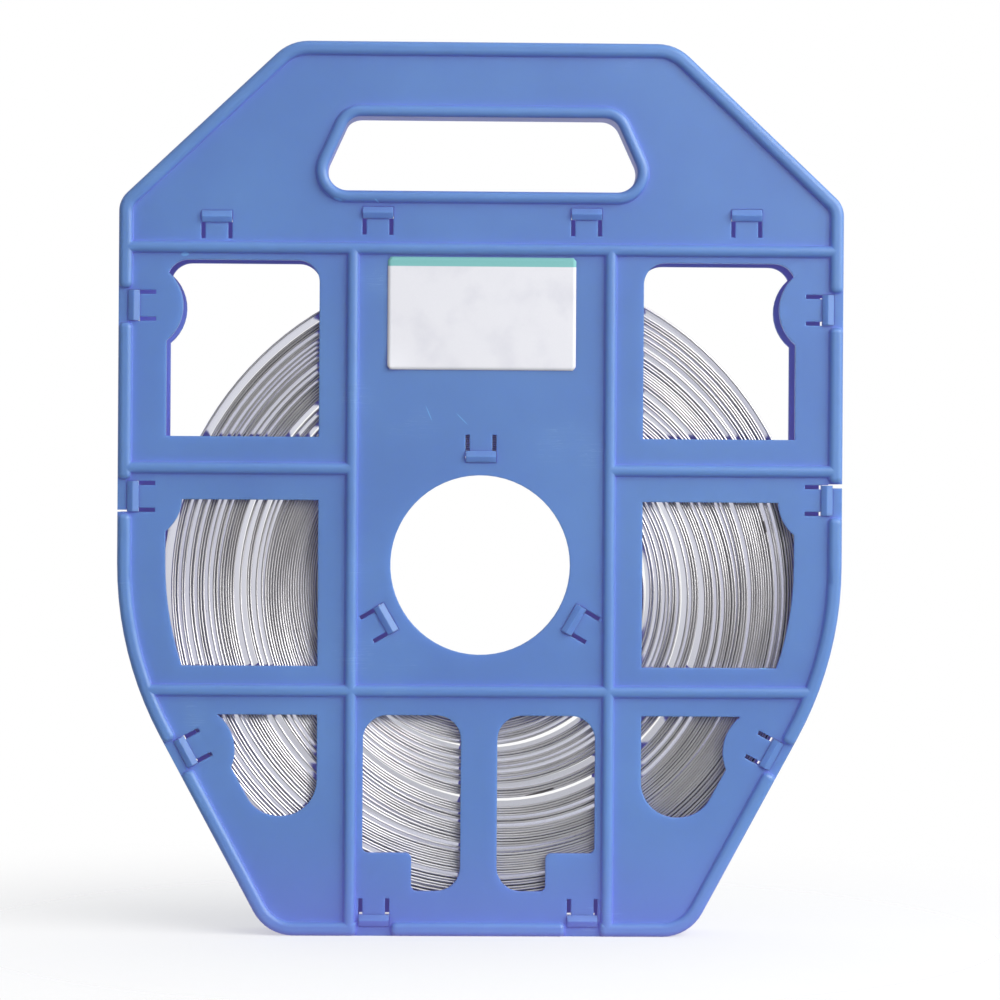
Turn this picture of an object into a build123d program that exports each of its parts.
"""Coil of steel strap in its two-part carry case, in millimetres.

The case stands on its base with its front towards -Y. Sketches are drawn upright: x is X and y is Z.
"""
import math
import os

from build123d import *

# The strap and the coil that it is wound into
STRAP_WIDTH = 16.0
COIL_RADIUS = 111.0
COIL_BORE_RADIUS = 45.0
BUNCH_COUNT = 9
GROOVE_WIDTH = 1.1
GROOVE_DEPTH = 1.8

# Room around the coil inside the case
COIL_ROOM = 12.0
FOOT_ROOM = 7.63
CROWN_ROOM = 5.37
SIDE_ROOM = 1.1
SEAT_GAP = 0.3

# Moulded walls, and the relief that leaves a line where the halves meet
PANEL = 2.0
WALL = 2.0
PARTING_RELIEF = 0.4

# Outline of the case, corner to corner before rounding
BASE_WIDTH = 146.0
TOP_WIDTH = 133.0
SHOULDER_RISE = 16.0
BASE_RADIUS = 15.6
SHOULDER_RADIUS = 8.7
TOP_RADIUS = 16.0

# Handle opening
HANDLE_RISE = 19.9
HANDLE_HEIGHT = 25.5
HANDLE_TOP_WIDTH = 91.2
HANDLE_BASE_WIDTH = 114.4
HANDLE_TOP_RADIUS = 5.6
HANDLE_BASE_RADIUS = 6.9
HANDLE_FLARE = 1.2
GRIP_HEIGHT = 25.9

# Raised beads: the rim, the ribs and the ring around the handle opening
RIM_WIDTH = 4.8
RIB_WIDTH = 4.1
BEAD_HEIGHT = 1.9
BEAD_EDGE_RADIUS = 1.8
RIB_SPACING = 88.9
MID_RIB_RISE = 33.0
LOW_RIB_DROP = 43.5

# Windows, by the bands of panel that are left around them
SIDE_BAND = 16.5
PILLAR_BAND = 11.5
CROWN_BAND = 4.3
MID_BAND = 10.9
LOW_BAND = 8.4
FOOT_BAND = 15.4
CENTRE_BAND = 4.4
CENTRE_WEB = 12.6
UPPER_WINDOW_RADIUS = 7.5
LOWER_WINDOW_HEIGHT = 35.0
LOWER_WINDOW_RADIUS = 12.4
CENTRE_WINDOW_RADIUS = 8.4
CORNER_BLOCK_WIDTH = 16.9
CORNER_BLOCK_HEIGHT = 13.2
CORNER_BLOCK_RADIUS = 2.0
BOSS_RADIUS = 15.6

# Hub that the coil hangs on, with the hole through the middle of the case
HUB_BORE_RADIUS = 32.5
HUB_WALL = 4.4
HUB_LIP = 1.5
HUB_END_GAP = 0.3

# Snap clips: a tongue in the front half, and a hook from the back half that reaches over its end
TONGUE_WIDTH = 7.8
TONGUE_LENGTH = 6.3
TONGUE_RADIUS = 1.2
SLOT_WIDTH = 1.45
CLIP_INSET = 6.6
CLIP_OPENING = 3.4
HOOK_THICKNESS = 1.6
HOOK_HEAD_HEIGHT = 1.1
HOOK_EDGE_HEIGHT = 0.35
HOOK_REACH = 0.7
HOOK_GAP = 0.12
HOOK_HOLE_LENGTH = 0.8
NOTCH_MARGIN = 0.5
NOTCH_RADIUS = 1.9
INNER_CLIP_SPACING = 72.0
OUTER_CLIP_SPACING = 182.8
TOP_CLIP_RISE = 11.0
LEFT_CLIP_DROP = 1.7
UPPER_CLIP_DROP = 20.2
MIDDLE_CLIP_DROP = 10.0
SLOPE_CLIP_DROP = 20.8
HUB_CLIP_COUNT = 3
HUB_CLIP_RISE = 1.8

# Slits at the side clips that let the strap out
RIGHT_SLIT_WIDTH = 1.4
LEFT_SLIT_WIDTH = 0.7
SLIT_OFFSET = 5.0

# Paper label
LABEL_WIDTH = 65.0
LABEL_HEIGHT = 38.9
LABEL_THICKNESS = 0.2
LABEL_RADIUS = 1.2
LABEL_DROP = 2.8
LABEL_GAP = 0.05

# Depths, from the plane where the halves meet
panel_back = STRAP_WIDTH / 2 + SIDE_ROOM
panel_face = panel_back + PANEL
bead_top = panel_face + BEAD_HEIGHT

# Sizes of a clip
clip_width = TONGUE_WIDTH + 2 * SLOT_WIDTH
hook_width = clip_width - 2 * HOOK_GAP
hook_outer = CLIP_OPENING - HOOK_GAP
hook_inner = hook_outer - HOOK_THICKNESS

# The coil hangs on the topmost clip of the hub, so its centre lies below the hub's
hub_radius = HUB_BORE_RADIUS + HUB_WALL
hub_clip_radius = hub_radius + HUB_CLIP_RISE
hub_seat = hub_clip_radius - hook_inner
coil_drop = math.sqrt((COIL_BORE_RADIUS - SEAT_GAP) ** 2 - (hook_width / 2) ** 2) - hub_seat

# Heights above the floor
hub_z = WALL + FOOT_ROOM + COIL_RADIUS + coil_drop
coil_z = hub_z - coil_drop
top_rib_z = coil_z + COIL_RADIUS + CROWN_ROOM
mid_rib_z = hub_z + MID_RIB_RISE
low_rib_z = hub_z - LOW_RIB_DROP
shoulder_z = top_rib_z + SHOULDER_RISE
handle_z = top_rib_z + HANDLE_RISE
case_top = handle_z + HANDLE_HEIGHT + GRIP_HEIGHT

# The sides run into an arc around the hub, and the arc into a slope down to the base
half_width = COIL_RADIUS + COIL_ROOM + WALL
slope = math.atan2(hub_z, BASE_WIDTH / 2) - math.acos(half_width / math.hypot(hub_z, BASE_WIDTH / 2))
knee_z = hub_z - half_width * math.tan(slope / 2)

# Places of the clips: where the tongue ends, and how far the hook's side is turned from straight up
clip_reach = half_width - CLIP_INSET
slope_clip_drop = LOW_RIB_DROP + SLOPE_CLIP_DROP
slope_clip_lean = min(slope, math.asin(slope_clip_drop / clip_reach))
slope_clip_x = (clip_reach - slope_clip_drop * math.sin(slope_clip_lean)) / math.cos(slope_clip_lean)
side_clips = [
    (clip_reach, top_rib_z - UPPER_CLIP_DROP, 90),
    (clip_reach, mid_rib_z - MIDDLE_CLIP_DROP, 90),
    (slope_clip_x, hub_z - slope_clip_drop, 90 + math.degrees(slope_clip_lean)),
]
base_clips = [(INNER_CLIP_SPACING / 2, CLIP_INSET, 180)]
top_clip_z = top_rib_z + TOP_CLIP_RISE
top_clips = [
    (-OUTER_CLIP_SPACING / 2, top_clip_z - LEFT_CLIP_DROP, 0),
    (-INNER_CLIP_SPACING / 2, top_clip_z, 0),
    (INNER_CLIP_SPACING / 2, top_clip_z, 0),
    (OUTER_CLIP_SPACING / 2, top_clip_z, 0),
]
hub_turns = [360 / HUB_CLIP_COUNT * number for number in range(HUB_CLIP_COUNT)]
hub_clips = [
    (
        hub_clip_radius * math.sin(math.radians(turn)),
        hub_z + hub_clip_radius * math.cos(math.radians(turn)),
        turn + 180,
    )
    for turn in hub_turns
]


def both_sides(clips):
    """The clips given for the right side, and their mirror images on the left."""
    return clips + [(-x, z, -turn) for x, z, turn in clips]


rim_clips = both_sides(side_clips + base_clips)
all_clips = rim_clips + top_clips + hub_clips


def flat_places(clips):
    """Where the clips lie in an upright sketch."""
    return [Location((x, z, 0), (0, 0, -turn)) for x, z, turn in clips]


def mirrored_path(points, radii):
    """A closed path from the rounded corners of its right half, from the bottom up."""
    path = points + [(-x, z) for x, z in reversed(points)]
    return FilletPolyline(*path, radius=radii + radii[::-1], close=True)


def outline(inset):
    """The case seen from the front, drawn in by the inset."""
    corners = [
        (BASE_WIDTH / 2, 0),
        (half_width, knee_z),
        (half_width, shoulder_z),
        (TOP_WIDTH / 2, case_top),
    ]
    with BuildSketch() as face:
        with BuildLine():
            mirrored_path(corners, [BASE_RADIUS, half_width, SHOULDER_RADIUS, TOP_RADIUS])
        make_face()
        offset(amount=-inset, mode=Mode.REPLACE)
    return face.sketch


def handle(margin):
    """The handle opening, made larger all round by the margin."""
    corners = [(HANDLE_BASE_WIDTH / 2, handle_z), (HANDLE_TOP_WIDTH / 2, handle_z + HANDLE_HEIGHT)]
    with BuildSketch() as face:
        with BuildLine():
            mirrored_path(corners, [HANDLE_BASE_RADIUS, HANDLE_TOP_RADIUS])
        make_face()
        offset(amount=margin, mode=Mode.REPLACE)
    return face.sketch


def side_window(low, high):
    """A window of the right side that follows the outline of the case."""
    inner = RIB_SPACING / 2 + PILLAR_BAND
    with BuildSketch() as face:
        with Locations((inner, low)):
            Rectangle(half_width, high - low, align=Align.MIN)
        add(outline(SIDE_BAND), mode=Mode.INTERSECT)
    return face


def windows():
    """All the windows of one panel."""
    upper = side_window(mid_rib_z + MID_BAND, top_rib_z - CROWN_BAND)
    with upper:
        fillet(upper.vertices().group_by(Axis.Y)[-1], UPPER_WINDOW_RADIUS)

    middle = side_window(low_rib_z + LOW_BAND, mid_rib_z - MID_BAND)

    lower_top = low_rib_z - LOW_BAND
    lower = side_window(lower_top - LOWER_WINDOW_HEIGHT, lower_top)
    with lower:
        sill = lower.edges().sort_by(Axis.Y)[0].length
        widest = sill / (1 + math.tan(math.pi / 4 - slope / 2))
        fillet(lower.vertices().group_by(Axis.Y)[0], min(LOWER_WINDOW_RADIUS, widest))

    inner = CENTRE_WEB / 2
    outer = RIB_SPACING / 2 - CENTRE_BAND
    block_side = outer - CORNER_BLOCK_WIDTH
    block_top = FOOT_BAND + CORNER_BLOCK_HEIGHT
    with BuildSketch() as centre:
        with BuildLine():
            FilletPolyline(
                (inner, FOOT_BAND),
                (block_side, FOOT_BAND),
                (block_side, block_top),
                (outer, block_top),
                (outer, lower_top),
                (inner, lower_top),
                radius=[CENTRE_WINDOW_RADIUS] + 3 * [CORNER_BLOCK_RADIUS] + 2 * [CENTRE_WINDOW_RADIUS],
                close=True,
            )
        make_face()

    with BuildSketch() as face:
        for window in (upper, middle, lower, centre):
            add(window.sketch)
        with Locations(*flat_places(side_clips)):
            Circle(BOSS_RADIUS, mode=Mode.SUBTRACT)
        mirror(about=Plane.YZ)
    return face.sketch


def bead_pattern():
    """Rim, ribs and handle ring in one face, with the rim left open at its clips."""
    low_rib_end = math.sqrt(half_width**2 - LOW_RIB_DROP**2) - RIM_WIDTH / 2
    side_length = half_width - RIB_SPACING / 2 - RIM_WIDTH / 2
    upright_length = top_rib_z - RIM_WIDTH / 2
    with BuildSketch() as face:
        add(outline(0))
        add(outline(RIM_WIDTH), mode=Mode.SUBTRACT)
        with Locations((0, top_rib_z)):
            Rectangle(2 * half_width - RIM_WIDTH, RIB_WIDTH)
        with Locations((0, low_rib_z)):
            Rectangle(2 * low_rib_end, RIB_WIDTH)
        for side in (-1, 1):
            with Locations((side * (RIB_SPACING / 2 + side_length / 2), mid_rib_z)):
                Rectangle(side_length, RIB_WIDTH)
            with Locations((side * RIB_SPACING / 2, top_rib_z - upright_length / 2)):
                Rectangle(RIB_WIDTH, upright_length)
        add(handle(RIB_WIDTH))
        add(handle(0), mode=Mode.SUBTRACT)

        # The rim stops on both sides of a clip
        with Locations(*flat_places(rim_clips)):
            with Locations((0, CLIP_INSET)):
                Rectangle(clip_width + 2 * NOTCH_MARGIN, 2 * CLIP_INSET, mode=Mode.SUBTRACT)
    return face.sketch


def is_notch_edge(edge):
    """True for an upright edge where the rim stops beside a clip, unless a rib runs in there."""
    spot = edge.center()
    from_rib = abs(abs(spot.X) - RIB_SPACING / 2)
    if spot.Z > RIM_WIDTH / 2 and from_rib < RIB_WIDTH / 2 + NOTCH_RADIUS:
        return False
    for x, z, turn in rim_clips:
        angle = math.radians(turn)
        across = (spot.X - x) * math.cos(angle) - (spot.Z - z) * math.sin(angle)
        along = (spot.X - x) * math.sin(angle) + (spot.Z - z) * math.cos(angle)
        beside_clip = math.isclose(abs(across), clip_width / 2 + NOTCH_MARGIN, rel_tol=1e-3)
        if beside_clip and 0 < along < 2 * CLIP_INSET:
            return True
    return False


def case_half(flare):
    """Half a case, the front one: panel, wall, beads, windows and handle, with no clips or hub."""
    with BuildPart() as beads:
        with BuildSketch(Plane.XZ.offset(panel_face)):
            add(bead_pattern())
        extrude(amount=BEAD_HEIGHT)
        fillet(beads.edges().filter_by(Axis.Y).filter_by(is_notch_edge), NOTCH_RADIUS)
        fillet(beads.faces().group_by(Axis.Y)[0].edges(), BEAD_EDGE_RADIUS)

    with BuildPart() as half:
        with BuildSketch(Plane.XZ):
            add(outline(PARTING_RELIEF))
        extrude(amount=PARTING_RELIEF)
        with BuildSketch(Plane.XZ.offset(PARTING_RELIEF)):
            add(outline(0))
        extrude(amount=panel_face - PARTING_RELIEF)
        with BuildSketch(Plane.XZ):
            add(outline(WALL))
            add(handle(flare + WALL), mode=Mode.SUBTRACT)
        extrude(amount=panel_back, mode=Mode.SUBTRACT)
        add(beads.part)

        with BuildSketch(Plane.XZ):
            add(handle(flare))
            add(windows())
        extrude(amount=bead_top, mode=Mode.SUBTRACT)

        # Slits for the strap, each beside the clip in the middle of its side
        border = CLIP_INSET - CLIP_OPENING
        x, z, turn = side_clips[1]
        with BuildSketch(Plane.XZ):
            with Locations((half_width - border / 2, z + SLIT_OFFSET)):
                Rectangle(2 * border, RIGHT_SLIT_WIDTH)
            with Locations((border / 2 - half_width, z - SLIT_OFFSET)):
                Rectangle(2 * border, LEFT_SLIT_WIDTH)
        extrude(amount=bead_top, mode=Mode.SUBTRACT)
    return half.part


def clip_slot():
    """The slot around three sides of a tongue, wide enough past the tongue's end for a hook."""
    with BuildSketch() as face:
        with BuildLine():
            FilletPolyline(
                (TONGUE_WIDTH / 2, -TONGUE_LENGTH),
                (clip_width / 2, -TONGUE_LENGTH),
                (clip_width / 2, CLIP_OPENING),
                (-clip_width / 2, CLIP_OPENING),
                (-clip_width / 2, -TONGUE_LENGTH),
                (-TONGUE_WIDTH / 2, -TONGUE_LENGTH),
                (-TONGUE_WIDTH / 2, 0),
                (TONGUE_WIDTH / 2, 0),
                radius=6 * [0] + 2 * [TONGUE_RADIUS],
                close=True,
            )
        make_face()
    return face.sketch


os.makedirs("parts", exist_ok=True)

with BuildPart() as front_shell:
    add(case_half(0))
    with BuildSketch(Plane.XZ.offset(panel_back)):
        with Locations((0, hub_z)):
            Circle(HUB_BORE_RADIUS - HUB_LIP)
        with Locations(*flat_places(all_clips)):
            add(clip_slot())
    extrude(amount=PANEL + BEAD_HEIGHT, mode=Mode.SUBTRACT)
front_shell.part.label = "front_shell"
export_step(front_shell.part, "parts/front_shell.step")

# One hook, standing as on a clip at the origin: an arm with a gabled head
head_foot = panel_face + HOOK_GAP
head_edge = head_foot + HOOK_EDGE_HEIGHT
head_ridge = head_foot + HOOK_HEAD_HEIGHT
with BuildPart() as hook:
    with BuildSketch(Plane.YZ):
        with BuildLine():
            Polyline(
                (panel_face, hook_inner),
                (panel_face, hook_outer),
                (-head_edge, hook_outer),
                (-head_ridge, (hook_outer - HOOK_REACH) / 2),
                (-head_edge, -HOOK_REACH),
                (-head_foot, -HOOK_REACH),
                (-head_foot, hook_inner),
                close=True,
            )
        make_face()
    extrude(amount=hook_width / 2, both=True)

with BuildPart() as back_shell:
    add(case_half(HANDLE_FLARE))
    mirror(about=Plane.XZ, mode=Mode.REPLACE)

    # The hub reaches across to the front panel
    with BuildSketch(Plane.XZ.offset(-panel_face)):
        with Locations((0, hub_z)):
            Circle(hub_radius)
    extrude(amount=panel_face + panel_back - HUB_END_GAP)
    with BuildSketch(Plane.XZ.offset(-panel_face)):
        with Locations((0, hub_z)):
            Circle(HUB_BORE_RADIUS)
    extrude(amount=panel_face + panel_back, mode=Mode.SUBTRACT)

    # A narrow hole in the panel beside each hook lets its arm bend
    with BuildSketch(Plane.XZ.offset(-panel_face)):
        with Locations(*flat_places(all_clips)):
            with Locations((0, hook_inner)):
                Rectangle(clip_width, HOOK_HOLE_LENGTH, align=(Align.CENTER, Align.MAX))
    extrude(amount=PANEL, mode=Mode.SUBTRACT)
    for x, z, turn in all_clips:
        with Locations(Location((x, 0, z), (0, turn, 0))):
            add(hook.part)
back_shell.part.label = "back_shell"
export_step(back_shell.part, "parts/back_shell.step")

# The coil is turned about the case's depth, and grooves between its bunches of turns show on both ends
crest = STRAP_WIDTH / 2
bunch_pitch = (COIL_RADIUS - COIL_BORE_RADIUS) / BUNCH_COUNT
end_line = [(COIL_BORE_RADIUS, crest)]
for number in range(1, BUNCH_COUNT):
    groove = COIL_BORE_RADIUS + number * bunch_pitch
    end_line += [
        (groove - GROOVE_WIDTH / 2, crest),
        (groove, crest - GROOVE_DEPTH),
        (groove + GROOVE_WIDTH / 2, crest),
    ]
end_line.append((COIL_RADIUS, crest))
with BuildPart() as strap_coil:
    with BuildSketch(Plane((0, 0, coil_z))):
        with BuildLine():
            Polyline(*end_line, *[(r, -y) for r, y in reversed(end_line)], close=True)
        make_face()
    revolve(axis=Axis((0, 0, coil_z), (0, 1, 0)))
strap_coil.part.label = "strap_coil"
export_step(strap_coil.part, "parts/strap_coil.step")

with BuildPart() as label:
    with BuildSketch(Plane.XZ.offset(panel_face + LABEL_GAP)):
        with Locations((0, top_rib_z - LABEL_DROP - LABEL_HEIGHT / 2)):
            RectangleRounded(LABEL_WIDTH, LABEL_HEIGHT, LABEL_RADIUS)
    extrude(amount=LABEL_THICKNESS)
label.part.label = "label"
export_step(label.part, "parts/label.step")
